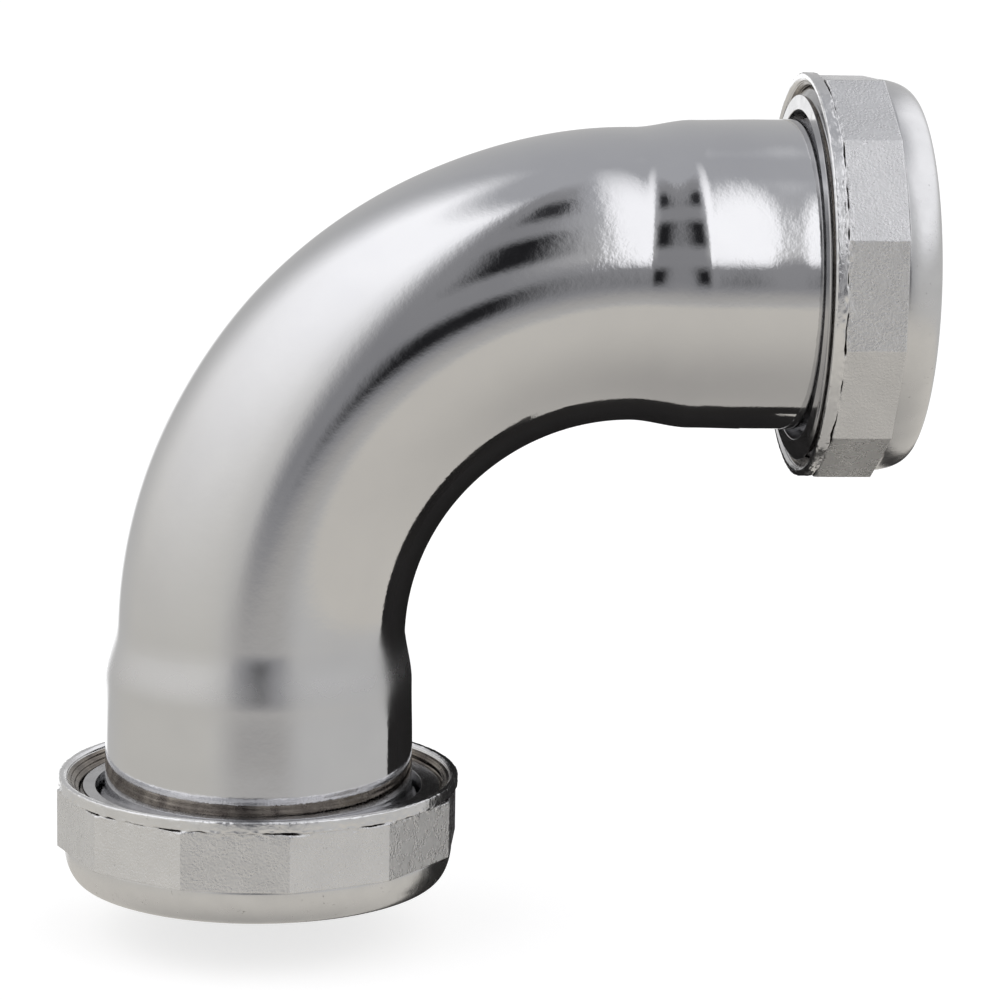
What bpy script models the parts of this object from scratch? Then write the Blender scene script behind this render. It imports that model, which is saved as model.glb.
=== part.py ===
"""A 90-degree double slip-joint elbow for 1-1/2 in tubular drain pipe.

A thin brass tube is bent through a quarter turn. Each end is opened into a bell that takes a
38.1 mm pipe, opened again into a collar, and turned out into a flange. A loose threaded ring
sits round each collar behind the flange. A twelve-sided slip nut screws on the ring and presses
a friction ring and a bevelled washer against the flange and the pipe.

Frame: metres, +Z up. The lower leg points down -Z and the side leg points along +X, both in the
plane Y = 0. The origin is on the lower leg's axis, in the lower nut's outer face.
Each leg has an empty whose +Z points out along the leg from the end of the bend.
"""

import math
from collections import namedtuple

import bmesh
import bpy

# Tube
BEND_RADIUS = 0.0480          # centre line
TUBE_RADIUS = 0.01905         # outside of the 1-1/2 in tube
BELL_RADIUS = 0.02005         # outside of the bell that takes the pipe
COLLAR_RADIUS = 0.0211        # outside of the second opening, inside the threaded ring
FLANGE_RADIUS = 0.0225
WALL = 0.0008
FLARE_LENGTH = 0.0040         # bell to collar
FLARE_LEAD = 0.0031           # part of the flare that shows before the ring

# Slip-joint thread, 11.5 turns per inch, right-handed
PITCH = 0.0254 / 11.5
FLANK = math.tan(math.radians(30.0))
RING_MAJOR = 0.02425
RING_MINOR = 0.02315
RING_CREST = 0.00035          # flat on top of the ring's thread
NUT_MINOR = 0.02350
NUT_MAJOR = 0.02455
FLANK_GAP = 0.00025           # axial clearance on each flank

# Threaded ring
RING_BORE = 0.0215
RING_LENGTH = 0.0050
RING_CHAMFER = 0.0004

# Slip nut, heights from its mouth
NUT_HEIGHT = 0.0139
NUT_CORNER = 0.0266           # radius over the corners of the flats
NUT_SIDES = 12
NUT_RIM = 0.0263
NUT_LIP = 0.0256              # inner edge of the mouth
RIM_HEIGHT = 0.0016
FLATS_TOP = 0.0092
RIM_LEDGE = 0.00005           # rim left standing under the flats
CORNER_CHAMFER = 0.0006
DOME_BASE = 0.0256
DOME_FACE = 0.0233            # outer radius of the flat outer face
NUT_HOLE = 0.0195
NUT_SHOULDER = 0.01215
NUT_RELIEF = 0.02475          # groove that the thread runs out into
RELIEF_START = 0.0075
RELIEF_END = 0.0108
THREAD_END = 0.0097           # height at which the thread's last turn stops, in the relief
NUT_POCKET = 0.0236           # room for the seal behind the thread
EDGE = 0.00025                # small broken edges

# Seal
SEAL_BORE = 0.0191
SEAL_RADIUS = 0.0229
SEAL_LENGTH = 0.0026
SEAL_NOSE = 0.0204
SEAL_BEVEL = 0.00105
FRICTION_BORE = 0.0194
FRICTION_LENGTH = 0.0004

GAP = 0.0003                  # between pieces that touch
TURN_STEPS = 36               # facets round the turned pieces
HALF_FACET = math.pi / TURN_STEPS    # cutters are turned by this, so that their edges cross facets
BEND_STEPS = 12
WIDENING_STEPS = 3

# step_start and step_end bound the widening from tube to bell, ring_at is the threaded ring's
# inner face and nut_mouth the nut's mouth, all measured from the end of the bend. corner_angle
# turns the nut's flats about the leg.
Leg = namedtuple("Leg", "name step_start step_end ring_at nut_mouth corner_angle")
LOWER = Leg("lower", 0.0001, 0.0035, 0.01985, 0.01825, math.radians(23.1))
SIDE = Leg("side", 0.0010, 0.0065, 0.02160, 0.02200, math.radians(14.9))

TANGENT_HEIGHT = LOWER.nut_mouth + NUT_HEIGHT
AXIS_HEIGHT = TANGENT_HEIGHT + BEND_RADIUS


def clear_scene():
    for obj in list(bpy.data.objects):
        bpy.data.objects.remove(obj, do_unlink=True)


def new_collection(name):
    collection = bpy.data.collections.new(name)
    bpy.context.scene.collection.children.link(collection)
    return collection


def finish(name, colour, metallic, roughness):
    material = bpy.data.materials.new(name)
    material.use_nodes = True
    shader = material.node_tree.nodes["Principled BSDF"]
    shader.inputs["Base Color"].default_value = (*colour, 1.0)
    shader.inputs["Metallic"].default_value = metallic
    shader.inputs["Roughness"].default_value = roughness
    return material


def add_object(name, mesh, collection, leg_frame=None, height=0.0, turn=0.0):
    """Place a mesh on a leg's frame, a height out along the leg and turned about it."""
    obj = bpy.data.objects.new(name, mesh)
    obj.parent = leg_frame
    obj.location = (0.0, 0.0, height)
    obj.rotation_euler = (0.0, 0.0, turn)
    collection.objects.link(obj)
    return obj


def as_cutter(obj):
    obj.hide_render = True
    obj.display_type = "WIRE"
    return obj


def add_leg_frame(leg, location, rotation, collection):
    frame = bpy.data.objects.new(leg.name + "_leg_frame", None)
    frame.location = location
    frame.rotation_euler = rotation
    collection.objects.link(frame)
    return frame


def arc(centre, radii, start, stop, steps):
    """Points of an elliptical arc in (radius, height), ends included."""
    points = []
    for index in range(steps + 1):
        angle = math.radians(start + (stop - start) * index / steps)
        points.append((centre[0] + radii[0] * math.cos(angle), centre[1] + radii[1] * math.sin(angle)))
    return points


def turned_mesh(name, outline):
    """A closed (radius, height) outline, listed down its outer side first."""
    mesh = bpy.data.meshes.new(name)
    count = len(outline)
    edges = [(index, (index + 1) % count) for index in range(count)]
    mesh.from_pydata([(radius, 0.0, height) for radius, height in outline], edges, [])
    return mesh


def add_turn(obj, steps=TURN_STEPS):
    screw = obj.modifiers.new("turn", "SCREW")
    screw.axis = "Z"
    screw.angle = 2.0 * math.pi
    screw.steps = steps
    screw.render_steps = steps
    screw.use_merge_vertices = True
    screw.merge_threshold = 0.00001


def add_cut(obj, cutter):
    cut = obj.modifiers.new("cut", "BOOLEAN")
    cut.operation = "DIFFERENCE"
    cut.solver = "EXACT"
    cut.object = cutter


def groove_mesh(name, tip_radius, tip_width, mouth_radius, first_height, last_height):
    """A helical groove cutter. Its section widens from the tip to the mouth at the flank angle."""
    mouth_width = tip_width + 2.0 * abs(mouth_radius - tip_radius) * FLANK
    section = (
        (tip_radius, -tip_width / 2.0),
        (mouth_radius, -mouth_width / 2.0),
        (mouth_radius, mouth_width / 2.0),
        (tip_radius, tip_width / 2.0),
    )
    work = bmesh.new()
    corners = [work.verts.new((radius, 0.0, first_height + offset)) for radius, offset in section]
    face = work.faces.new(corners)
    rise = PITCH / TURN_STEPS
    steps = math.ceil((last_height - first_height) / rise)
    bmesh.ops.spin(
        work,
        geom=[face, *face.edges, *face.verts],
        axis=(0.0, 0.0, 1.0),
        cent=(0.0, 0.0, 0.0),
        dvec=(0.0, 0.0, rise),
        angle=2.0 * math.pi * steps / TURN_STEPS,
        steps=steps,
        use_duplicate=False,
    )
    bmesh.ops.recalc_face_normals(work, faces=work.faces)
    mesh = bpy.data.meshes.new(name)
    work.to_mesh(mesh)
    work.free()
    return mesh


def first_turn(height, turn, offset=0.0):
    """Height on a piece at which a groove that is turned by an angle starts, below the piece.

    The ridges of a leg's ring lie on one helix, which passes the leg's +X side at whole pitches
    from the end of the bend. The offset moves the groove along the leg from that helix.
    """
    return -(height % PITCH) - PITCH + offset + PITCH * turn / (2.0 * math.pi)


def widening(start, stop, first_radius, last_radius):
    """(distance, radius) along a smooth step between two radii."""
    stations = []
    for index in range(WIDENING_STEPS + 1):
        share = index / WIDENING_STEPS
        blend = share * share * (3.0 - 2.0 * share)
        distance = start + (stop - start) * share
        stations.append((distance, first_radius + (last_radius - first_radius) * blend))
    return stations


def tube_stations(leg):
    """(distance, radius) of the tube's outside, out along a leg from the end of the bend."""
    flare_start = leg.ring_at - FLARE_LEAD
    stations = widening(leg.step_start, leg.step_end, TUBE_RADIUS, BELL_RADIUS)
    stations += widening(flare_start, flare_start + FLARE_LENGTH, BELL_RADIUS, COLLAR_RADIUS)
    flange = leg.ring_at + RING_LENGTH + GAP
    stations.append((flange - 2.0 * EDGE, COLLAR_RADIUS))
    stations.append((flange - EDGE / 2.0, COLLAR_RADIUS + 1.5 * EDGE))
    stations.append((flange, FLANGE_RADIUS))
    return stations


def tube_path():
    """((x, y, z), radius) along the tube, from the lower end to the side end."""
    path = []
    for distance, radius in reversed(tube_stations(LOWER)):
        path.append(((0.0, 0.0, TANGENT_HEIGHT - distance), radius))
    for index in range(BEND_STEPS + 1):
        angle = math.radians(90.0) * index / BEND_STEPS
        x = BEND_RADIUS * (1.0 - math.cos(angle))
        z = TANGENT_HEIGHT + BEND_RADIUS * math.sin(angle)
        path.append(((x, 0.0, z), TUBE_RADIUS))
    for distance, radius in tube_stations(SIDE):
        path.append(((BEND_RADIUS + distance, 0.0, AXIS_HEIGHT), radius))
    return path


def add_elbow_tube(parts, material):
    """The outside is a bevelled curve with a radius at each point, thickened inwards as a wall."""
    curve = bpy.data.curves.new("elbow_tube_path", "CURVE")
    curve.dimensions = "3D"
    curve.bevel_depth = TUBE_RADIUS
    curve.bevel_resolution = 13          # thirty sides
    curve.twist_mode = "MINIMUM"
    path = tube_path()
    spline = curve.splines.new("POLY")
    spline.points.add(len(path) - 1)
    for point, (place, radius) in zip(spline.points, path):
        point.co = (*place, 1.0)
        point.radius = radius / TUBE_RADIUS
    guide = bpy.data.objects.new("elbow_tube_path", curve)
    parts.objects.link(guide)
    bpy.context.view_layer.update()
    evaluated = guide.evaluated_get(bpy.context.evaluated_depsgraph_get())
    mesh = bpy.data.meshes.new_from_object(evaluated)
    mesh.name = "elbow_tube"
    bpy.data.objects.remove(guide, do_unlink=True)

    work = bmesh.new()
    work.from_mesh(mesh)
    bmesh.ops.remove_doubles(work, verts=work.verts, dist=0.000001)
    work.to_mesh(mesh)
    work.free()
    mesh.materials.clear()
    mesh.materials.append(material)
    mesh.shade_smooth()
    tube = bpy.data.objects.new("elbow_tube", mesh)
    parts.objects.link(tube)
    wall = tube.modifiers.new("wall", "SOLIDIFY")
    wall.thickness = WALL
    wall.offset = -1.0
    wall.use_even_offset = True


def add_threaded_ring(leg, frame, parts, cutters, material):
    outline = [
        (RING_BORE, RING_LENGTH),
        (RING_MAJOR - RING_CHAMFER, RING_LENGTH),
        (RING_MAJOR, RING_LENGTH - RING_CHAMFER),
        (RING_MAJOR, RING_CHAMFER),
        (RING_MAJOR - RING_CHAMFER, 0.0),
        (RING_BORE, 0.0),
    ]
    name = leg.name + "_threaded_ring"
    mesh = turned_mesh(name, outline)
    mesh.materials.append(material)
    ring = add_object(name, mesh, parts, frame, leg.ring_at)
    add_turn(ring)
    root_width = PITCH - RING_CREST - 2.0 * (RING_MAJOR - RING_MINOR) * FLANK
    groove = groove_mesh(
        name + "_groove",
        RING_MINOR,
        root_width,
        RING_MAJOR + RING_CHAMFER / 4.0,
        first_turn(leg.ring_at, HALF_FACET, -PITCH / 2.0),
        RING_LENGTH + PITCH,
    )
    cutter = add_object(name + "_groove", groove, cutters, frame, leg.ring_at, HALF_FACET)
    add_cut(ring, as_cutter(cutter))


def nut_outline():
    outline = [(NUT_HOLE + EDGE, NUT_HEIGHT)]
    dome_height = NUT_HEIGHT - FLATS_TOP
    outline += arc((DOME_FACE, FLATS_TOP), (DOME_BASE - DOME_FACE, dome_height), 90.0, 0.0, 5)
    band = NUT_CORNER + EDGE
    outline += [
        (band, FLATS_TOP - CORNER_CHAMFER),
        (band, RIM_HEIGHT + CORNER_CHAMFER),
        (NUT_RIM, RIM_HEIGHT),
        (NUT_RIM, EDGE),
        (NUT_RIM - EDGE, 0.0),
        (NUT_LIP, 0.0),
        (NUT_MAJOR + EDGE, NUT_LIP - NUT_MAJOR - EDGE),
        (NUT_MINOR, NUT_LIP - NUT_MINOR),
        (NUT_MINOR, RELIEF_START),
        (NUT_RELIEF, RELIEF_START + NUT_RELIEF - NUT_MINOR),
        (NUT_RELIEF, RELIEF_END),
        (NUT_POCKET, RELIEF_END + NUT_RELIEF - NUT_POCKET),
        (NUT_POCKET, NUT_SHOULDER),
        (NUT_HOLE, NUT_SHOULDER),
        (NUT_HOLE, NUT_HEIGHT - EDGE),
    ]
    return outline


def add_slip_nut(leg, frame, parts, cutters, material):
    name = leg.name + "_slip_nut"
    mesh = turned_mesh(name, nut_outline())
    mesh.materials.append(material)
    nut = add_object(name, mesh, parts, frame, leg.nut_mouth, leg.corner_angle - HALF_FACET)
    add_turn(nut)

    far = 1.5 * NUT_CORNER
    bottom = RIM_HEIGHT + RIM_LEDGE
    top = FLATS_TOP + 2.0 * RIM_LEDGE
    flats_outline = [(NUT_CORNER, top), (far, top), (far, bottom), (NUT_CORNER, bottom)]
    flats = turned_mesh(name + "_flats", flats_outline)
    cutter = add_object(name + "_flats", flats, cutters, frame, leg.nut_mouth, leg.corner_angle)
    add_turn(as_cutter(cutter), NUT_SIDES)
    add_cut(nut, cutter)

    # The nut's groove is the ring's ridge, grown by the flank gap.
    tip_width = RING_CREST - 2.0 * (NUT_MAJOR - RING_MAJOR) * FLANK + 2.0 * FLANK_GAP
    groove = groove_mesh(
        name + "_groove",
        NUT_MAJOR,
        tip_width,
        NUT_MINOR - EDGE,
        first_turn(leg.nut_mouth, leg.corner_angle),
        THREAD_END,
    )
    cutter = add_object(name + "_groove", groove, cutters, frame, leg.nut_mouth, leg.corner_angle)
    add_cut(nut, as_cutter(cutter))


def add_seal(leg, frame, parts, washer_material, friction_material):
    """The friction ring lies on the nut's shoulder, and the bevelled washer lies on it."""
    friction_at = leg.nut_mouth + NUT_SHOULDER - GAP - FRICTION_LENGTH
    friction_name = leg.name + "_friction_ring"
    friction_outline = [
        (FRICTION_BORE, FRICTION_LENGTH),
        (SEAL_RADIUS, FRICTION_LENGTH),
        (SEAL_RADIUS, 0.0),
        (FRICTION_BORE, 0.0),
    ]
    friction_mesh = turned_mesh(friction_name, friction_outline)
    friction_mesh.materials.append(friction_material)
    add_turn(add_object(friction_name, friction_mesh, parts, frame, friction_at))

    washer_at = friction_at - GAP - SEAL_LENGTH
    washer_name = leg.name + "_sealing_washer"
    washer_outline = [
        (SEAL_BORE, SEAL_LENGTH),
        (SEAL_RADIUS, SEAL_LENGTH),
        (SEAL_RADIUS, SEAL_BEVEL),
        (SEAL_NOSE, 0.0),
        (SEAL_BORE, 0.0),
    ]
    washer_mesh = turned_mesh(washer_name, washer_outline)
    washer_mesh.materials.append(washer_material)
    add_turn(add_object(washer_name, washer_mesh, parts, frame, washer_at))


def main():
    clear_scene()
    parts = new_collection("slip_joint_elbow")
    cutters = new_collection("cutters")
    tube_chrome = finish("tube_chrome", (0.62, 0.62, 0.63), 1.0, 0.12)
    ring_metal = finish("ring_metal", (0.50, 0.50, 0.51), 1.0, 0.30)
    nut_chrome = finish("nut_chrome", (0.56, 0.56, 0.57), 1.0, 0.34)
    seal_plastic = finish("seal_plastic", (0.10, 0.10, 0.10), 0.0, 0.55)
    friction_plastic = finish("friction_plastic", (0.72, 0.70, 0.64), 0.0, 0.45)

    add_elbow_tube(parts, tube_chrome)
    lower_frame = add_leg_frame(LOWER, (0.0, 0.0, TANGENT_HEIGHT), (math.pi, 0.0, 0.0), parts)
    side_place = (BEND_RADIUS, 0.0, AXIS_HEIGHT)
    side_frame = add_leg_frame(SIDE, side_place, (0.0, math.pi / 2.0, 0.0), parts)
    for leg, frame in ((LOWER, lower_frame), (SIDE, side_frame)):
        add_threaded_ring(leg, frame, parts, cutters, ring_metal)
        add_slip_nut(leg, frame, parts, cutters, nut_chrome)
        add_seal(leg, frame, parts, seal_plastic, friction_plastic)


main()
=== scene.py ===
"""The looks of a chrome-plated double slip-joint elbow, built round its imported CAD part.

Frame: metres, +Z up, the CAD part's own frame. Every turned piece is laid out on its leg, where
a height is the distance out along the leg from the end of the bend.
"""

import math

import bpy
import numpy as np
from mathutils import Matrix, Vector, noise


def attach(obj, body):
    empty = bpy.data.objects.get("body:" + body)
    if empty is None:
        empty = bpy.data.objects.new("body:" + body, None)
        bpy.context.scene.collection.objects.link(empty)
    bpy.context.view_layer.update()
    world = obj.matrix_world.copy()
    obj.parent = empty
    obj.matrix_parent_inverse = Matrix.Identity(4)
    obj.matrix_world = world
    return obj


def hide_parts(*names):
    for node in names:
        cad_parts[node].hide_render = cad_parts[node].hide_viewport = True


TAU = 2.0 * math.pi

# Tube
BEND_RADIUS = 0.0480
TUBE_RADIUS = 0.01905
BELL_RADIUS = 0.02005
COLLAR_RADIUS = 0.0211
FLANGE_RADIUS = 0.0225
WALL = 0.0008
CROWN = 0.00015               # swelling along the bell
CROWN_END = 0.0056            # before the start of the flare
LIP = 0.00011                 # first easing out of the bell, before the collar
LIP_START = 0.0034            # before the start of the flare
LIP_LENGTH = 0.0056
COLLAR_RUN = 0.0010           # straight part of the collar before the flange turns out
FLATTENING = -0.00035         # in the radius, on the outer side of the bend
WIDENING = 0.00022            # in the radius, across the bend
MARKS_START = 0.0056          # before the bend
MARKS_RISE = 0.0068
MARKS_END = 0.020             # before the end of the bend
MARKS_FALL = 0.018
TUBE_SIDES = 256
TUBE_SPACING = 0.0003
BEND_STEPS = 160

# Thread
PITCH = 0.0254 / 11.5
FLANK = math.tan(math.radians(30.0))
RING_MAJOR = 0.02425
RING_MINOR = 0.02315
RING_CREST = 0.00035
NUT_MINOR = 0.02350
NUT_MAJOR = 0.02455
GROOVE_TIP = 0.0005

# Threaded ring
RING_BORE = 0.0215
RING_LENGTH = 0.0050
RING_CHAMFER = 0.0004
RING_EDGE = 0.00012
RING_SIDES = 288

# Slip nut, heights from its mouth
NUT_HEIGHT = 0.0139
NUT_CORNER = 0.0266
NUT_SIDES = 12
NUT_RIM = 0.0263
NUT_LIP = 0.0256
RIM_HEIGHT = 0.0016
FLATS_TOP = 0.0092
DOME_BASE = 0.0256
DOME_FACE = 0.0233
NUT_HOLE = 0.0195
NUT_SHOULDER = 0.01215
NUT_RELIEF = 0.02475
RELIEF_START = 0.0075
RELIEF_END = 0.0108
THREAD_END = 0.0097
NUT_POCKET = 0.0236
LIP_DEPTH = 0.0005
EDGE = 0.00025
THREAD_ROW = 0.0001
HAIR = 0.00001                # rows a few of these apart hold an edge sharp
LIP_RIPPLE = 0.00009
LIP_RIPPLE_LENGTH = 0.00052
FLATS, DOME, RIM, INSIDE = range(4)     # material slots of a nut

# Marks of the nut's casting
CRACK_DEPTH = -0.00035
CRACK_WANDER = 0.00018
CRACK_WIDTH = 0.00010
CRACK_UNEVEN = 0.00006
BEAD_SIZE = 0.00012
BEAD_BAND = 0.00055
WAVE_SIZE = 0.00004
NICK_SIZE = 0.00011
NICK_BAND = 0.00035
MARKED_HEIGHT = RIM_HEIGHT + 0.0013

# Seal
SEAL_BORE = 0.0191
SEAL_RADIUS = 0.0229
SEAL_LENGTH = 0.0026
SEAL_NOSE = 0.0204
SEAL_BEVEL = 0.00105
FRICTION_BORE = 0.0194
FRICTION_LENGTH = 0.0004
FRICTION_EDGE = 0.00008
SEAL_EDGE = 0.0002
GAP = 0.0003

# Studio: places and half-sides of the cards in metres, angles in degrees
SOFT_BOX_CENTRE = (0.141, -0.575, 0.4475)
SOFT_BOX_ACROSS = (0.054, 0.0, 0.0)
SOFT_BOX_ALONG = (-0.079, 0.625, 0.1675)
SOFT_BOX_STRENGTH = 1.15
BLACK_CARDS = (               # name, centre, half across, half height
    ("black_card", (0.047, 0.035, -0.011), (0.035, 0.0, 0.0), 0.059),
    ("black_card_side", (0.100, 0.0395, -0.011), (0.0, 0.0205, 0.0), 0.059),
    ("black_card_foot", (0.094, 0.035, -0.0425), (0.012, 0.0, 0.0), 0.0275),
    ("black_card_step", (0.0445, 0.035, 0.054), (0.0245, 0.0, 0.0), 0.006),
)
COLUMN_LEAN = 0.18            # degrees of bearing per degree of height
HEADS = (                     # low, high, brightness
    (-2.5, 9.5, 0.015),
    (26.0, 45.0, 0.015),
    (57.5, 69.0, 0.03),
)
FLOOR_SIZE = 24.0
FLOOR_DROP = 0.0075           # room for the lower nut to unscrew
FLOOR_GLOW = 0.72
CAMERA_PLACE = (-0.0109, -0.4297, 0.1253)
CAMERA_YAW = 5.621
CAMERA_PITCH = -9.869
CAMERA_ROLL = 1.016
CAMERA_LENS = 120.15
CAMERA_SENSOR = 36.0


class Leg:
    """One end of the elbow. step and flare are (start, stop) distances out from the end of the bend."""

    def __init__(self, name, step, flare, ring_at, nut_mouth, corner, place, turn, seed):
        self.name = name
        self.step = step
        self.flare = flare
        self.ring_at = ring_at
        self.nut_mouth = nut_mouth
        self.corner = math.radians(corner)
        self.frame = Matrix.Translation(place) @ turn
        self.seed = seed


LOWER_MOUTH = 0.01825
TANGENT_HEIGHT = LOWER_MOUTH + NUT_HEIGHT
AXIS_HEIGHT = TANGENT_HEIGHT + BEND_RADIUS
LOWER = Leg("lower", (-0.0016, 0.0058), (0.0200, 0.0218), 0.01985, LOWER_MOUTH, 23.1,
            Vector((0.0, 0.0, TANGENT_HEIGHT)), Matrix.Rotation(math.pi, 4, "X"), 3.0)
SIDE = Leg("side", (-0.0001, 0.0077), (0.0221, 0.0244), 0.02160, 0.02200, 14.9,
           Vector((BEND_RADIUS, 0.0, AXIS_HEIGHT)), Matrix.Rotation(math.pi / 2.0, 4, "Y"), 11.0)


# ---------------------------------------------------------------- mesh helpers

def closed_lattice(name, points, row_slots=None):
    """A mesh from rows of points. The rows close on themselves and so do the columns."""
    rows, columns = points.shape[:2]
    index = np.arange(rows * columns).reshape(rows, columns)
    nxt = np.roll(index, -1, axis=0)
    faces = np.stack([index, nxt, np.roll(nxt, -1, axis=1), np.roll(index, -1, axis=1)], -1)
    faces = faces.reshape(-1, 4)
    flat = points.reshape(-1, 3)
    a, b, c, d = (flat[faces[:, k]] for k in range(4))
    volume = (np.einsum("ij,ij->i", a, np.cross(b, c)) + np.einsum("ij,ij->i", a, np.cross(c, d))).sum()
    if volume < 0.0:
        faces = faces[:, ::-1]
    mesh = bpy.data.meshes.new(name)
    mesh.from_pydata(flat.tolist(), [], faces.tolist())
    mesh.shade_smooth()
    if row_slots is not None:
        mesh.polygons.foreach_set("material_index", np.repeat(row_slots, columns).astype(np.int32))
    mesh.update()
    return mesh


def on_leg(leg, angles, radii, heights):
    """Points in the part's frame. The arrays are rows by columns, on the leg's own axis."""
    local = np.stack([radii * np.cos(angles), radii * np.sin(angles), heights, np.ones_like(radii)], -1)
    return (local @ np.array(leg.frame).T)[..., :3]


def add_piece(name, mesh, materials, body, node):
    """Put a mesh in the scene as the looks of one node of the part, riding on that node's body."""
    piece = bpy.data.objects.new(name, mesh)
    bpy.context.scene.collection.objects.link(piece)
    for material in materials:
        mesh.materials.append(material)
    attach(piece, body)
    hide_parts(node)
    return piece


def softened(corners, reach, steps=4):
    """A closed (radius, height) outline with each corner turned into a small curve."""
    points = []
    count = len(corners)
    for k in range(count):
        before, here, after = (np.array(corners[(k + s) % count], float) for s in (-1, 0, 1))
        first = min(reach, 0.4 * np.linalg.norm(before - here))
        last = min(reach, 0.4 * np.linalg.norm(after - here))
        start = here + (before - here) / np.linalg.norm(before - here) * first
        stop = here + (after - here) / np.linalg.norm(after - here) * last
        for s in range(steps + 1):
            t = s / steps
            points.append((1 - t) ** 2 * start + 2 * t * (1 - t) * here + t * t * stop)
    return points


def subdivided(points, spacing):
    """A closed outline with no segment longer than the spacing."""
    dense = []
    for k, here in enumerate(points):
        after = points[(k + 1) % len(points)]
        parts = max(1, math.ceil(np.linalg.norm(after - here) / spacing))
        dense += [here + (after - here) * (s / parts) for s in range(parts)]
    return np.array(dense)


def turned(leg, name, corners, height, reach, spacing=0.0006, sides=192):
    """A ring of one section, turned about the leg's axis."""
    outline = subdivided(softened(corners, reach), spacing)
    angles = np.broadcast_to(np.arange(sides) * TAU / sides, (len(outline), sides))
    radii = np.broadcast_to(outline[:, :1], angles.shape)
    heights = np.broadcast_to(outline[:, 1:] + height, angles.shape)
    return closed_lattice(name, on_leg(leg, angles, radii, heights))


def helix_offset(angles, heights):
    """Distance along the leg from the nearest turn of the leg's thread."""
    turns = heights / PITCH - angles / TAU
    return np.abs(turns - np.round(turns)) * PITCH


def smooth(share):
    """A rise from 0 to 1 with level ends."""
    share = np.clip(share, 0.0, 1.0)
    return share * share * (3.0 - 2.0 * share)


def grain(leg, angles, heights, size, layers=1):
    """Repeatable noise from -1 to 1 over a leg's surface, of about the given size in metres."""
    out = np.zeros(np.broadcast(angles, heights).shape)
    radius = NUT_RIM / size
    for place in np.ndindex(out.shape):
        angle, height = angles[place], heights[place]
        spot = Vector((radius * math.cos(angle), radius * math.sin(angle), height / size + 7.3 * leg.seed))
        out[place] = noise.fractal(spot, 1.0, 2.0, layers) if layers > 1 else noise.noise(spot)
    return out


# ---------------------------------------------------------------- the tube

def leg_radius(leg, distance):
    """Outside radius of the tube: bend, step up to the bell, easing lip and flare to the collar."""
    start, stop = leg.step
    widen = float(smooth((distance - start) / (stop - start)))
    flare = float(smooth((distance - leg.flare[0]) / (leg.flare[1] - leg.flare[0])))
    crown = CROWN * float(smooth((distance - stop) / (leg.flare[0] - CROWN_END - stop)))
    lip = LIP * float(smooth((distance - leg.flare[0] + LIP_START) / LIP_LENGTH))
    bell = TUBE_RADIUS + (BELL_RADIUS - TUBE_RADIUS) * widen + crown + lip
    return bell + (COLLAR_RADIUS - bell) * flare


def leg_stations(leg):
    """(distance, radius) of the tube's outside, out along a leg from the end of the bend."""
    distances = np.arange(TUBE_SPACING, leg.flare[1], TUBE_SPACING)
    stations = [(distance, leg_radius(leg, distance)) for distance in distances]
    flange = leg.ring_at + RING_LENGTH + GAP
    turn = 4.0 * EDGE
    stations += [(flange - turn - COLLAR_RUN, COLLAR_RADIUS)]
    for share in np.linspace(0.0, 1.0, 8):
        angle = share * math.pi / 2.0
        out = (FLANGE_RADIUS - COLLAR_RADIUS) * (1.0 - math.cos(angle))
        stations.append((flange - turn * (1.0 - math.sin(angle)), COLLAR_RADIUS + out))
    return stations


def tube_rings():
    """Centre, outward normal in the tube's plane, and radius, from the lower end to the side end."""
    rings = []
    for distance, radius in reversed(leg_stations(LOWER)):
        rings.append(((0.0, 0.0, TANGENT_HEIGHT - distance), (-1.0, 0.0, 0.0), radius))
    for k in range(BEND_STEPS + 1):
        angle = math.pi / 2.0 * k / BEND_STEPS
        out, up = BEND_RADIUS * (1.0 - math.cos(angle)), BEND_RADIUS * math.sin(angle)
        centre = (out, 0.0, TANGENT_HEIGHT + up)
        radius = max(leg_radius(LOWER, -BEND_RADIUS * angle),
                     leg_radius(SIDE, -BEND_RADIUS * (math.pi / 2.0 - angle)))
        rings.append((centre, (-math.cos(angle), 0.0, math.sin(angle)), radius))
    for distance, radius in leg_stations(SIDE):
        rings.append(((BEND_RADIUS + distance, 0.0, AXIS_HEIGHT), (0.0, 0.0, 1.0), radius))
    return rings


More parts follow.
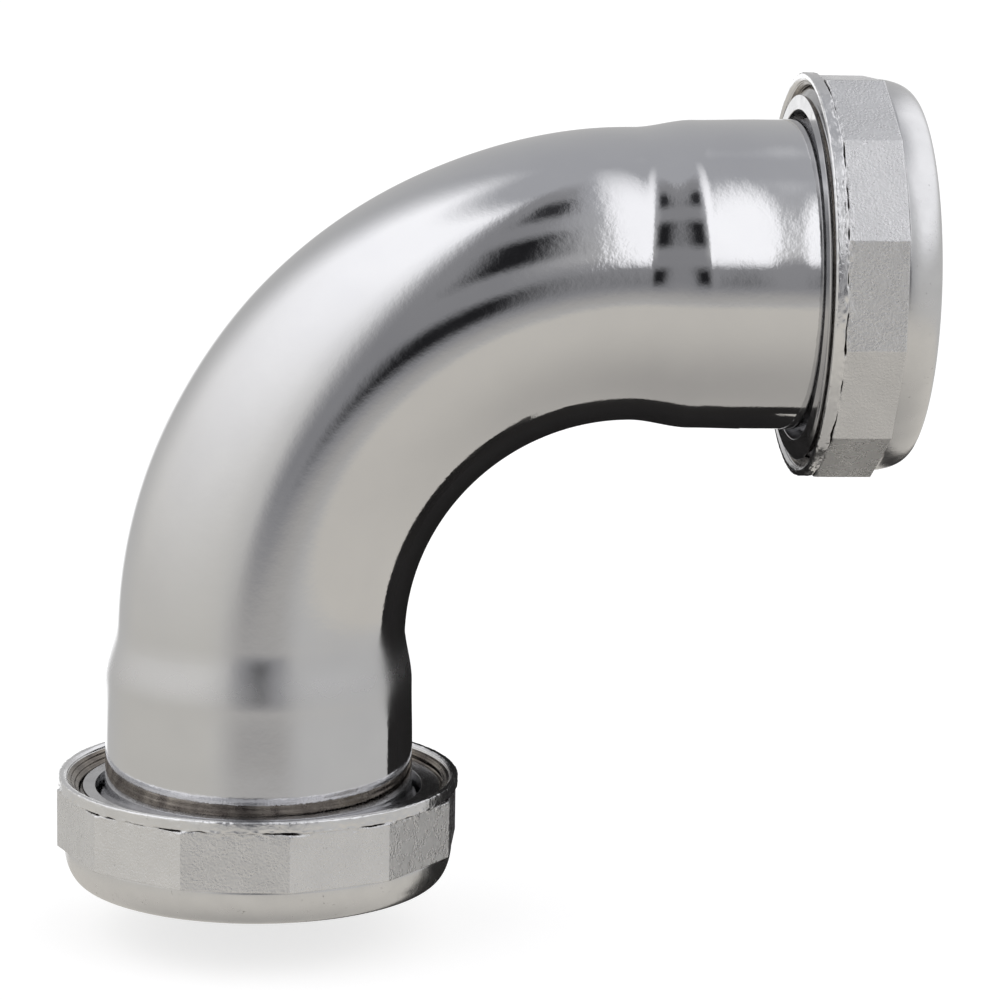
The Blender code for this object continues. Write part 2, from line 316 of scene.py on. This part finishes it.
def tube_mesh():
    """The tube's outside, one end, its inside and the other end, as one closed lattice."""
    rings = tube_rings()
    centres = np.array([ring[0] for ring in rings])
    normals = np.array([ring[1] for ring in rings])
    outer = np.array([ring[2] for ring in rings])
    along = np.stack([normals[:, 2], np.zeros(len(rings)), -normals[:, 0]], -1)
    distance = np.concatenate([[0.0], np.cumsum(np.linalg.norm(np.diff(centres, axis=0), axis=1))])
    apart = 1e-9 * np.arange(len(rings))       # keeps the flange's rings from sharing a distance
    slope = np.gradient(outer, distance + apart)
    length = np.sqrt(1.0 + slope ** 2)
    lean = slope / length
    inner_centres = centres + along * (WALL * lean)[:, None]
    inner = outer - WALL / length
    ends = []
    for at, sign in ((-1, 1.0), (0, -1.0)):
        ends.append((centres[at] + along[at] * sign * 0.3 * WALL, outer[at] - 0.5 * WALL))
    all_centres = np.concatenate([centres, [ends[0][0]], inner_centres[::-1], [ends[1][0]]])
    all_normals = np.concatenate([normals, normals[-1:], normals[::-1], normals[:1]])
    all_radii = np.concatenate([outer, [ends[0][1]], inner[::-1], [ends[1][1]]])
    angles = np.arange(TUBE_SIDES) * TAU / TUBE_SIDES
    side = np.array([0.0, 1.0, 0.0])
    spokes = all_normals[:, None, :] * np.cos(angles)[None, :, None] + side * np.sin(angles)[None, :, None]
    along_tube = np.concatenate([distance, distance[-1:], distance[::-1], distance[:1]])
    radii = all_radii[:, None] + bending_marks(along_tube, angles)
    points = all_centres[:, None, :] + spokes * radii[:, :, None]
    return closed_lattice("elbow_tube_surface", points)


def bending_marks(along_tube, angles):
    """Bending flattens the outer side of the tube a little and widens it across the bend."""
    lower_leg = LOWER.ring_at + RING_LENGTH + GAP
    bend = BEND_RADIUS * math.pi / 2.0
    rise = smooth((along_tube - lower_leg + MARKS_START) / MARKS_RISE)
    fall = 1.0 - smooth((along_tube - lower_leg - bend + MARKS_END) / MARKS_FALL)
    amount = (rise * fall)[:, None]
    outer = np.maximum(0.0, np.cos(angles))[None, :] ** 2
    across = np.sin(angles)[None, :] ** 2
    return amount * (FLATTENING * outer + WIDENING * across)


# ---------------------------------------------------------------- rings, seals and nuts

def ring_mesh(leg):
    """A threaded ring, with the thread cut into the outside and its ends chamfered."""
    corners = [(RING_BORE, RING_LENGTH), (RING_MAJOR, RING_LENGTH), (RING_MAJOR, 0.0), (RING_BORE, 0.0)]
    outline = subdivided(softened(corners, RING_EDGE), THREAD_ROW)
    angles = np.broadcast_to(np.arange(RING_SIDES) * TAU / RING_SIDES, (len(outline), RING_SIDES))
    heights = np.broadcast_to(outline[:, 1:], angles.shape)
    radii = np.array(np.broadcast_to(outline[:, :1], angles.shape))
    away = helix_offset(angles, heights + leg.ring_at)
    ridge = RING_MAJOR - np.maximum(0.0, away - RING_CREST / 2.0) / FLANK
    depth = np.minimum(heights, RING_LENGTH - heights)
    tip = RING_MAJOR - np.maximum(0.0, RING_CHAMFER - depth)
    ridge = np.minimum(np.clip(ridge, RING_MINOR, RING_MAJOR), tip)
    share = np.clip((radii - RING_BORE) / (RING_MAJOR - RING_BORE), 0.0, 1.0)
    radii = np.where(radii > RING_BORE + 10 * HAIR, RING_BORE + (ridge - RING_BORE) * share, radii)
    return closed_lattice(leg.name + "_ring_surface", on_leg(leg, angles, radii, heights + leg.ring_at))


def flat_columns(leg):
    """Angles round the leg, close together at the corners of the flats."""
    share = [0.0, 0.006, 0.014] + list(np.arange(0.03, 0.971, 0.02)) + [0.986, 0.994]
    side = TAU / NUT_SIDES
    return np.array([leg.corner + side * (k + s) for k in range(NUT_SIDES) for s in share])


def flats_radius(leg, angles):
    """Radius of the nut's flats in each direction."""
    side = TAU / NUT_SIDES
    apothem = NUT_CORNER * math.cos(side / 2.0)
    return apothem / np.cos(np.mod(angles - leg.corner, side) - side / 2.0)


def nut_rows():
    """Rows of (height, radius, share of the way to the flats, material slot), a closed outline."""
    rows = []
    for t in np.linspace(math.pi, math.pi / 2.0, 5):
        rows.append((NUT_HEIGHT - EDGE + EDGE * math.sin(t), NUT_HOLE + EDGE + EDGE * math.cos(t), 0.0, DOME))
    for r in np.linspace(NUT_HOLE + 2.5 * EDGE, DOME_FACE - 30 * HAIR, 7):
        rows.append((NUT_HEIGHT, r, 0.0, DOME))
    rise = NUT_HEIGHT - FLATS_TOP
    for t in np.linspace(math.pi / 2.0, 0.03, 34):
        radius = DOME_FACE + (DOME_BASE - DOME_FACE) * math.cos(t)
        rows.append((FLATS_TOP + rise * math.sin(t), radius, 0.0, DOME))
    rows += [
        (FLATS_TOP + 5 * HAIR, DOME_BASE - 4 * HAIR, 0.0, DOME),
        (FLATS_TOP - 4 * HAIR, DOME_BASE, 0.03, DOME),
        (FLATS_TOP, DOME_BASE, 0.5, FLATS),
        (FLATS_TOP, DOME_BASE, 0.90, FLATS),
        (FLATS_TOP - 3 * HAIR, DOME_BASE, 0.98, FLATS),
        (FLATS_TOP - 10 * HAIR, DOME_BASE, 1.0, FLATS),
    ]
    for height in np.linspace(FLATS_TOP - 30 * HAIR, RIM_HEIGHT + 80 * HAIR, 24):
        rows.append((height, NUT_CORNER, 1.0, FLATS))
    for height in np.linspace(RIM_HEIGHT + 70 * HAIR, RIM_HEIGHT + 8 * HAIR, 13):
        rows.append((height, NUT_CORNER, 1.0, FLATS))
    for drop, share in ((-3, 0.96), (0, 0.7), (3, 0.3), (6, 0.04), (11, 0.0)):
        rows.append((RIM_HEIGHT - drop * HAIR, NUT_RIM, share, RIM))
    for height in np.linspace(RIM_HEIGHT - 16 * HAIR, EDGE + 5 * HAIR, 24):
        rows.append((height, NUT_RIM, 0.0, RIM))
    for t in np.linspace(0.0, math.pi / 2.0, 5):
        rows.append((EDGE - EDGE * math.sin(t), NUT_RIM - EDGE + EDGE * math.cos(t), 0.0, RIM))
    for r in (NUT_RIM - 1.6 * EDGE, NUT_LIP + 6 * HAIR):
        rows.append((0.0, r, 0.0, RIM))
    return rows


def inside_radius(angles, heights, leg):
    """The nut's bore: lip, thread, and the relief groove that the thread runs out into."""
    ripple = LIP_RIPPLE * np.cos(heights * TAU / LIP_RIPPLE_LENGTH) * smooth(heights / (40 * HAIR))
    lip = NUT_LIP - heights + ripple
    away = helix_offset(angles, heights + leg.nut_mouth)
    groove = NUT_MAJOR - np.maximum(0.0, away - GROOVE_TIP / 2.0) / FLANK
    groove = np.where(heights < THREAD_END, np.clip(groove, NUT_MINOR, NUT_MAJOR), NUT_MINOR)
    way_in = NUT_MINOR + heights - RELIEF_START
    way_out = NUT_RELIEF + np.minimum(0.0, RELIEF_END - heights)
    relief = np.clip(np.minimum(way_in, way_out), NUT_MINOR, NUT_RELIEF)
    return np.maximum(np.maximum(lip, groove), relief)


def nut_mesh(leg):
    """A slip nut: flats, rim and dome outside, and the threaded bore with its shoulder and hole."""
    columns = flat_columns(leg)
    outside = np.array(nut_rows())
    flats = flats_radius(leg, columns)[None, :]
    base, share = outside[:, 1:2], outside[:, 2:3]
    out_radii = np.where(share >= 1.0, flats, base + share * (flats - base))
    out_heights = np.repeat(outside[:, :1], len(columns), axis=1)
    marks, seam = cast_marks(leg, columns, outside)
    out_radii = out_radii + marks

    bore_end = RELIEF_END + NUT_RELIEF - NUT_POCKET
    bore = np.arange(THREAD_ROW / 2.0, bore_end - THREAD_ROW / 2.0, THREAD_ROW)
    tail = [(NUT_POCKET, bore_end), (NUT_POCKET, NUT_SHOULDER - 0.00005)]
    tail += [(r, NUT_SHOULDER) for r in np.linspace(NUT_POCKET - 0.0001, NUT_HOLE + 0.0001, 6)]
    tail += [(NUT_HOLE, z) for z in np.linspace(NUT_SHOULDER + 0.0001, NUT_HEIGHT - EDGE - 0.0003, 4)]
    in_heights = np.repeat(np.concatenate([bore, [z for _, z in tail]])[:, None], len(columns), axis=1)
    bore_radii = inside_radius(columns[None, :], bore[:, None], leg)
    tail_radii = np.repeat(np.array([r for r, _ in tail])[:, None], len(columns), axis=1)

    radii = np.concatenate([out_radii, bore_radii, tail_radii])
    heights = np.concatenate([out_heights, in_heights])
    # Deeper than the lip, the bore takes the inside material, which is painted in shade.
    slots = np.concatenate([outside[:, 3], np.where(in_heights[:, 0] < LIP_DEPTH, RIM, INSIDE)]).astype(int)
    angles = np.broadcast_to(columns, radii.shape)
    points = on_leg(leg, angles, radii, heights + leg.nut_mouth)
    mesh = closed_lattice(leg.name + "_nut_surface", points, slots)
    seams = np.zeros(radii.shape, np.float32)
    seams[:len(seam)] = seam
    mesh.attributes.new("seam", "FLOAT", "POINT").data.foreach_set("value", seams.ravel())
    return mesh


def cast_marks(leg, columns, outside):
    """Roughness of the die-casting near the rim: a torn parting line, beads and shallow waves.

    Gives the change in radius and, from 0 to 1, how deep in the torn line each point lies.
    """
    marks = np.zeros((len(outside), len(columns)))
    seam = np.zeros(marks.shape)
    near = np.flatnonzero((outside[:, 0] < MARKED_HEIGHT) & (outside[:, 3] != DOME))
    angles = np.repeat(columns[None, :], len(near), axis=0)
    heights = np.repeat(outside[near, :1], len(columns), axis=1)
    line = RIM_HEIGHT + CRACK_WANDER * grain(leg, angles, np.zeros_like(heights), 0.0035, 3)
    width = CRACK_WIDTH + CRACK_UNEVEN * grain(leg, angles, np.full_like(heights, 0.03), 0.0012, 2)
    close = np.exp(-((heights - line) / width) ** 2)
    torn = smooth((grain(leg, angles, np.full_like(heights, 0.02), 0.0038, 2) + 0.20) / 0.30)
    crack = CRACK_DEPTH * close * torn
    band = np.exp(-((heights - RIM_HEIGHT) / BEAD_BAND) ** 2)
    beads = BEAD_SIZE * band * grain(leg, angles, heights, 0.0006, 2)
    waves = WAVE_SIZE * grain(leg, angles, heights, 0.0024, 2)
    edge = np.exp(-(heights / NICK_BAND) ** 2)
    nicks = NICK_SIZE * edge * (grain(leg, angles, heights, 0.0005, 2) - 0.30)
    marks[near] = crack + beads + waves + nicks
    seam[near] = close * torn
    return marks, seam


# ---------------------------------------------------------------- materials

def node_material(name):
    """A new material with its node tree and shader."""
    material = bpy.data.materials.new(name)
    material.use_nodes = True
    tree = material.node_tree
    return material, tree, tree.nodes["Principled BSDF"]


def object_place(tree):
    return tree.nodes.new("ShaderNodeTexCoord").outputs["Object"]


def noise_value(tree, place, size, detail=2.0, roughness=0.5):
    """Noise with features of about the given size in metres."""
    node = tree.nodes.new("ShaderNodeTexNoise")
    node.inputs["Scale"].default_value = 1.0 / size
    node.inputs["Detail"].default_value = detail
    node.inputs["Roughness"].default_value = roughness
    tree.links.new(place, node.inputs["Vector"])
    return node.outputs["Fac"]


def between(tree, factor, low, high, start=0.3, stop=0.7):
    """Map a factor's middle range onto low..high."""
    node = tree.nodes.new("ShaderNodeMapRange")
    node.inputs["From Min"].default_value = start
    node.inputs["From Max"].default_value = stop
    node.inputs["To Min"].default_value = low
    node.inputs["To Max"].default_value = high
    tree.links.new(factor, node.inputs["Value"])
    return node.outputs["Result"]


def blend_colours(tree, factor, first, second):
    """Mix two colours, each of them three numbers or another node's colour."""
    node = tree.nodes.new("ShaderNodeMix")
    node.data_type = "RGBA"
    for name, colour in (("A", first), ("B", second)):
        if isinstance(colour, tuple):
            node.inputs[name].default_value = (*colour, 1.0)
        else:
            tree.links.new(colour, node.inputs[name])
    tree.links.new(factor, node.inputs["Factor"])
    return node.outputs["Result"]


def add_bump(tree, height, strength, depth, under=None):
    """A bumped normal, on top of another one if that is given."""
    node = tree.nodes.new("ShaderNodeBump")
    node.inputs["Strength"].default_value = strength
    node.inputs["Distance"].default_value = depth
    tree.links.new(height, node.inputs["Height"])
    if under is not None:
        tree.links.new(under, node.inputs["Normal"])
    return node.outputs["Normal"]


def tube_chrome():
    """Polished plating with a faint orange peel, duller where the lower leg was drawn out."""
    material, tree, shader = node_material("tube_chrome_plating")
    place = object_place(tree)
    shader.inputs["Metallic"].default_value = 1.0
    cloud = noise_value(tree, place, 0.011, 3.0)
    patch = between(tree, cloud, 0.0, 1.0)
    colour = blend_colours(tree, patch, (0.80, 0.80, 0.81), (0.76, 0.76, 0.775))
    tree.links.new(colour, shader.inputs["Base Color"])
    haze = noise_value(tree, place, 0.0035, 4.0)
    split = tree.nodes.new("ShaderNodeSeparateXYZ")
    tree.links.new(place, split.inputs[0])
    low, high, soft = TANGENT_HEIGHT - 0.0070, TANGENT_HEIGHT + 0.0010, 0.0040
    drawn = math_node(tree, "MULTIPLY", window(tree, split.outputs["Z"], low, high, soft), 0.21)
    dull = math_node(tree, "ADD", between(tree, haze, 0.045, 0.085), drawn)
    tree.links.new(dull, shader.inputs["Roughness"])
    peel = add_bump(tree, noise_value(tree, place, 0.0011, 2.0), 0.36, 0.00002)
    fine = add_bump(tree, noise_value(tree, place, 0.00035, 2.0), 0.26, 0.00001, peel)
    tree.links.new(fine, shader.inputs["Normal"])
    return material


def cast_chrome(name, colours, roughness, sand, sand_depth, flecks=0.0, shade_in_seam=False):
    """Plated die-casting: a sandy skin of the given grain, with darker flecks and painted shade along the
    torn seam.
    """
    material, tree, shader = node_material(name)
    place = object_place(tree)
    shader.inputs["Metallic"].default_value = 1.0
    cloud = noise_value(tree, place, 0.004, 4.0)
    colour = blend_colours(tree, between(tree, cloud, 0.0, 1.0), *colours)
    if flecks > 0.0:
        speck = noise_value(tree, place, 0.0008, 3.0, 0.7)
        amount = between(tree, speck, 0.0, flecks, 0.66, 0.74)
        colour = blend_colours(tree, amount, colour, (0.16, 0.15, 0.14))
    # Painted shade: the colour goes near black along the deepest part of the torn seam.
    if shade_in_seam:
        attribute = tree.nodes.new("ShaderNodeAttribute")
        attribute.attribute_name = "seam"
        amount = between(tree, attribute.outputs["Fac"], 0.0, 1.0, 0.25, 0.75)
        colour = blend_colours(tree, amount, colour, (0.035, 0.028, 0.024))
    tree.links.new(colour, shader.inputs["Base Color"])
    uneven = noise_value(tree, place, 0.0016, 3.0)
    tree.links.new(between(tree, uneven, *roughness), shader.inputs["Roughness"])
    coarse = add_bump(tree, noise_value(tree, place, sand * 4.0, 2.0), 0.35, sand_depth)
    fine = add_bump(tree, noise_value(tree, place, sand, 3.0, 0.6), 1.0, sand_depth, coarse)
    tree.links.new(fine, shader.inputs["Normal"])
    return material


def soft_plastic(name, colours, roughness, grain_size, depth):
    """Moulded rubber or plastic: two close tones, uneven sheen and a fine grain."""
    material, tree, shader = node_material(name)
    place = object_place(tree)
    cloud = noise_value(tree, place, 0.002, 3.0)
    colour = blend_colours(tree, between(tree, cloud, 0.0, 1.0), *colours)
    tree.links.new(colour, shader.inputs["Base Color"])
    matt = noise_value(tree, place, 0.001, 3.0)
    tree.links.new(between(tree, matt, *roughness), shader.inputs["Roughness"])
    bump = add_bump(tree, noise_value(tree, place, grain_size, 3.0), 0.6, depth)
    tree.links.new(bump, shader.inputs["Normal"])
    return material


# ---------------------------------------------------------------- the studio

def math_node(tree, operation, first, second=None):
    """One step of arithmetic on numbers or other nodes' values."""
    node = tree.nodes.new("ShaderNodeMath")
    node.operation = operation
    for socket, value in zip(node.inputs, (first, second)):
        if value is None:
            continue
        if isinstance(value, (int, float)):
            socket.default_value = value
        else:
            tree.links.new(value, socket)
    return node.outputs["Value"]


def ramp(tree, value, start, stop):
    """0 before start and 1 after stop, with a smooth rise between."""
    node = tree.nodes.new("ShaderNodeMapRange")
    node.interpolation_type = "SMOOTHSTEP"
    node.inputs["From Min"].default_value = start
    node.inputs["From Max"].default_value = stop
    tree.links.new(value, node.inputs["Value"])
    return node.outputs["Result"]


def window(tree, value, low, high, soft):
    """1 between low and high and 0 outside, with soft edges."""
    rise = ramp(tree, value, low - soft, low + soft)
    fall = math_node(tree, "SUBTRACT", 1.0, ramp(tree, value, high - soft, high + soft))
    return math_node(tree, "MULTIPLY", rise, fall)


def light_tent():
    """Soft boxes, bounce and black cards of a product studio, by bearing and height in degrees.

    Bearing 0 is the side of the photographer (-Y) and grows towards +X.
    """
    world = bpy.data.worlds.new("light_tent")
    world.use_nodes = True
    bpy.context.scene.world = world
    tree = world.node_tree
    background = tree.nodes["Background"]
    split = tree.nodes.new("ShaderNodeSeparateXYZ")
    tree.links.new(tree.nodes.new("ShaderNodeTexCoord").outputs["Generated"], split.inputs[0])
    degree = 180.0 / math.pi
    back = math_node(tree, "MULTIPLY", split.outputs["Y"], -1.0)
    bearing = math_node(tree, "MULTIPLY", math_node(tree, "ARCTAN2", split.outputs["X"], back), degree)
    height = math_node(tree, "MULTIPLY", math_node(tree, "ARCSINE", split.outputs["Z"]), degree)
    leaning = math_node(tree, "ADD", bearing, math_node(tree, "MULTIPLY", height, COLUMN_LEAN))
    away = math_node(tree, "ABSOLUTE", bearing)

    def area(side, side_low, side_high, side_soft, low, high, soft):
        across = window(tree, side, side_low, side_high, side_soft)
        return math_node(tree, "MULTIPLY", across, window(tree, height, low, high, soft))

    def layer(under, mask, shade):
        return blend_colours(tree, mask, under, shade)

    # Room above, pale table below
    room = blend_colours(tree, ramp(tree, height, -20.0, 80.0), (0.53, 0.525, 0.515), (0.42, 0.425, 0.445))
    table = blend_colours(tree, ramp(tree, height, -85.0, -25.0), (0.41, 0.395, 0.37), (0.60, 0.575, 0.53))
    colour = layer(room, ramp(tree, height, -15.0, -20.0), table)
    # Large soft box on the left, brightest high up, and a smaller one on the right
    glow = blend_colours(tree, ramp(tree, height, -18.0, 60.0), (0.56, 0.545, 0.51), (1.16, 1.16, 1.18))
    colour = layer(colour, area(bearing, -137.0, -28.0, 22.0, -22.0, 71.0, 6.0), glow)
    glow = blend_colours(tree, ramp(tree, height, -90.0, 90.0), (1.0, 1.0, 1.01), (0.98, 0.98, 1.0))
    colour = layer(colour, area(bearing, 32.0, 150.0, 10.0, 16.0, 66.0, 12.0), glow)
    # The photographer's side: a dim column with dark heads in it
    colour = layer(colour, area(bearing, -26.0, 22.0, 13.0, -16.0, -4.0, 5.0), (0.42, 0.41, 0.395))
    colour = layer(colour, area(bearing, -14.0, 20.0, 7.0, -8.0, 17.0, 5.0), (0.28, 0.28, 0.29))
    dim = blend_colours(tree, ramp(tree, height, -90.0, 90.0), (0.23, 0.23, 0.24), (0.27, 0.27, 0.28))
    colour = layer(colour, area(leaning, -22.0, 6.5, 7.0, -6.0, 80.0, 7.0), dim)
    for low, high, dark in HEADS:
        colour = layer(colour, area(leaning, -7.5, 5.5, 4.5, low, high, 4.0), (dark, dark, dark * 1.1))
    # White sweep behind the object
    colour = layer(colour, area(away, 160.0, 200.0, 6.0, -17.0, 5.0, 4.0), (1.25, 1.25, 1.25))
    tree.links.new(colour, background.inputs["Color"])
    background.inputs["Strength"].default_value = 1.0


def add_card(name, place, across, along, material):
    """A flat card that only reflections and soft light see. across and along are half its sides."""
    place, across, along = Vector(place), Vector(across), Vector(along)
    low, high = place - along, place + along
    corners = [low - across, low + across, high + across, high - across]
    mesh = bpy.data.meshes.new(name)
    mesh.from_pydata([tuple(corner) for corner in corners], [], [(0, 1, 2, 3)])
    layer = mesh.uv_layers.new(name="sides")
    for loop, place_on_card in zip(layer.data, ((0, 0), (1, 0), (1, 1), (0, 1))):
        loop.uv = place_on_card
    mesh.materials.append(material)
    card = bpy.data.objects.new(name, mesh)
    bpy.context.scene.collection.objects.link(card)
    card.visible_camera = False
    card.visible_shadow = False
    return card


def add_cards():
    """A long soft box over the side leg, and black cards behind the inside of the bend."""
    material = bpy.data.materials.new("soft_box_glow")
    material.use_nodes = True
    tree = material.node_tree
    tree.nodes.clear()
    split = tree.nodes.new("ShaderNodeSeparateXYZ")
    tree.links.new(tree.nodes.new("ShaderNodeTexCoord").outputs["UV"], split.inputs[0])
    glow = tree.nodes.new("ShaderNodeEmission")
    glow.inputs["Color"].default_value = (1.0, 1.0, 1.02, 1.0)
    glow.inputs["Strength"].default_value = SOFT_BOX_STRENGTH
    reach = []
    for side in ("X", "Y"):
        off = math_node(tree, "ABSOLUTE", math_node(tree, "SUBTRACT", split.outputs[side], 0.5))
        reach.append(math_node(tree, "POWER", math_node(tree, "MULTIPLY", off, 2.0), 2.6))
    mask = math_node(tree, "SUBTRACT", 1.0, ramp(tree, math_node(tree, "ADD", *reach), 0.12, 1.10))
    shader = tree.nodes.new("ShaderNodeMixShader")
    tree.links.new(mask, shader.inputs["Fac"])
    tree.links.new(tree.nodes.new("ShaderNodeBsdfTransparent").outputs[0], shader.inputs[1])
    tree.links.new(glow.outputs[0], shader.inputs[2])
    tree.links.new(shader.outputs[0], tree.nodes.new("ShaderNodeOutputMaterial").inputs["Surface"])
    add_card("soft_box", SOFT_BOX_CENTRE, SOFT_BOX_ACROSS, SOFT_BOX_ALONG, material)

    material, tree, shader = node_material("black_card")
    shader.inputs["Base Color"].default_value = (0.012, 0.011, 0.011, 1.0)
    shader.inputs["Roughness"].default_value = 1.0
    for name, place, across, half_height in BLACK_CARDS:
        card = add_card(name, place, across, (0.0, 0.0, half_height), material)
        card.visible_diffuse = False


def add_floor():
    """A pale floor that stays out of the reflections."""
    bpy.ops.mesh.primitive_plane_add(size=FLOOR_SIZE, location=(0.0, 0.0, -FLOOR_DROP))
    floor = bpy.context.object
    floor.name = "floor"
    material, tree, shader = node_material("pale_floor")
    shader.inputs["Base Color"].default_value = (0.50, 0.50, 0.50, 1.0)
    shader.inputs["Roughness"].default_value = 1.0
    shader.inputs["Specular IOR Level"].default_value = 0.0
    shader.inputs["Emission Color"].default_value = (1.0, 1.0, 1.0, 1.0)
    shader.inputs["Emission Strength"].default_value = FLOOR_GLOW
    floor.data.materials.append(material)
    floor.visible_glossy = False


def add_camera():
    """Lens and place worked out from the outline of the object in the photograph."""
    camera = bpy.data.objects.new("camera", bpy.data.cameras.new("camera"))
    camera.data.sensor_width = CAMERA_SENSOR
    camera.data.lens = CAMERA_LENS
    yaw, pitch, roll = (math.radians(angle) for angle in (CAMERA_YAW, CAMERA_PITCH, CAMERA_ROLL))
    level = math.cos(pitch)
    ahead = Vector((math.sin(yaw) * level, math.cos(yaw) * level, math.sin(pitch)))
    right = Vector((math.cos(yaw), -math.sin(yaw), 0.0))
    up = right.cross(ahead)
    turned_right = right * math.cos(roll) + up * math.sin(roll)
    turned_up = up * math.cos(roll) - right * math.sin(roll)
    axes = Matrix((turned_right, turned_up, -ahead)).transposed().to_4x4()
    camera.matrix_world = Matrix.Translation(CAMERA_PLACE) @ axes
    bpy.context.scene.collection.objects.link(camera)
    bpy.context.scene.camera = camera


# ---------------------------------------------------------------- everything together

def add_parts():
    """Every visible piece with its material."""
    chrome = tube_chrome()
    ring_finish = cast_chrome("ring_plating", ((0.62, 0.62, 0.63), (0.54, 0.54, 0.55)),
                              roughness=(0.16, 0.26), sand=0.0004, sand_depth=0.00001, flecks=0.5)
    flats = cast_chrome("nut_cast_flats", ((0.88, 0.88, 0.89), (0.82, 0.82, 0.83)), roughness=(0.22, 0.34),
                        sand=0.0003, sand_depth=0.0001, flecks=0.35, shade_in_seam=True)
    dome = cast_chrome("nut_dome", ((0.84, 0.84, 0.85), (0.78, 0.78, 0.79)),
                       roughness=(0.20, 0.28), sand=0.0006, sand_depth=0.00001, flecks=0.5)
    rim = cast_chrome("nut_rim", ((0.88, 0.88, 0.89), (0.80, 0.80, 0.81)), roughness=(0.12, 0.26),
                      sand=0.0005, sand_depth=0.00003, flecks=0.7, shade_in_seam=True)
    # Painted shade: the bore is coloured dark brown to near black, far darker than the plating outside, for
    # the shade inside the nut.
    inside = cast_chrome("nut_bore_painted_shade", ((0.35, 0.315, 0.27), (0.10, 0.085, 0.078)),
                         roughness=(0.14, 0.30), sand=0.0005, sand_depth=0.00002, flecks=0.9)
    rubber = soft_plastic("washer_rubber", ((0.045, 0.045, 0.046), (0.07, 0.07, 0.07)),
                          roughness=(0.45, 0.65), grain_size=0.0002, depth=0.00002)
    slip = soft_plastic("friction_plastic", ((0.72, 0.70, 0.64), (0.66, 0.64, 0.58)),
                        roughness=(0.38, 0.52), grain_size=0.0003, depth=0.00001)

    add_piece("tube_skin", tube_mesh(), [chrome], "elbow", "elbow_tube")
    for leg in (LOWER, SIDE):
        name = leg.name
        add_piece(name + "_ring_skin", ring_mesh(leg), [ring_finish], name + "_ring",
                  name + "_threaded_ring")
        add_piece(name + "_nut_skin", nut_mesh(leg), [flats, dome, rim, inside], name + "_nut",
                  name + "_slip_nut")
        friction_at = leg.nut_mouth + NUT_SHOULDER - GAP - FRICTION_LENGTH
        corners = [(FRICTION_BORE, FRICTION_LENGTH), (SEAL_RADIUS, FRICTION_LENGTH),
                   (SEAL_RADIUS, 0.0), (FRICTION_BORE, 0.0)]
        friction = turned(leg, name + "_friction_surface", corners, friction_at, FRICTION_EDGE)
        add_piece(name + "_friction_skin", friction, [slip], name + "_seal", name + "_friction_ring")
        corners = [(SEAL_BORE, SEAL_LENGTH), (SEAL_RADIUS, SEAL_LENGTH), (SEAL_RADIUS, SEAL_BEVEL),
                   (SEAL_NOSE, 0.0), (SEAL_BORE, 0.0)]
        washer_at = friction_at - GAP - SEAL_LENGTH
        washer = turned(leg, name + "_washer_surface", corners, washer_at, SEAL_EDGE)
        add_piece(name + "_washer_skin", washer, [rubber], name + "_seal", name + "_sealing_washer")


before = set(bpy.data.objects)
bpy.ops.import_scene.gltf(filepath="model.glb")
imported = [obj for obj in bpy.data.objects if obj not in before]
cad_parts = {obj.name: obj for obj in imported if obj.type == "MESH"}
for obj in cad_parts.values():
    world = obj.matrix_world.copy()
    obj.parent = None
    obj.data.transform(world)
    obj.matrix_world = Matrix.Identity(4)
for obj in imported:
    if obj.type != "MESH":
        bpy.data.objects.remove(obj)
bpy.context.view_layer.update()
bpy.context.scene.view_settings.view_transform = "Standard"
add_camera()
add_parts()
add_floor()
add_cards()
light_tent()
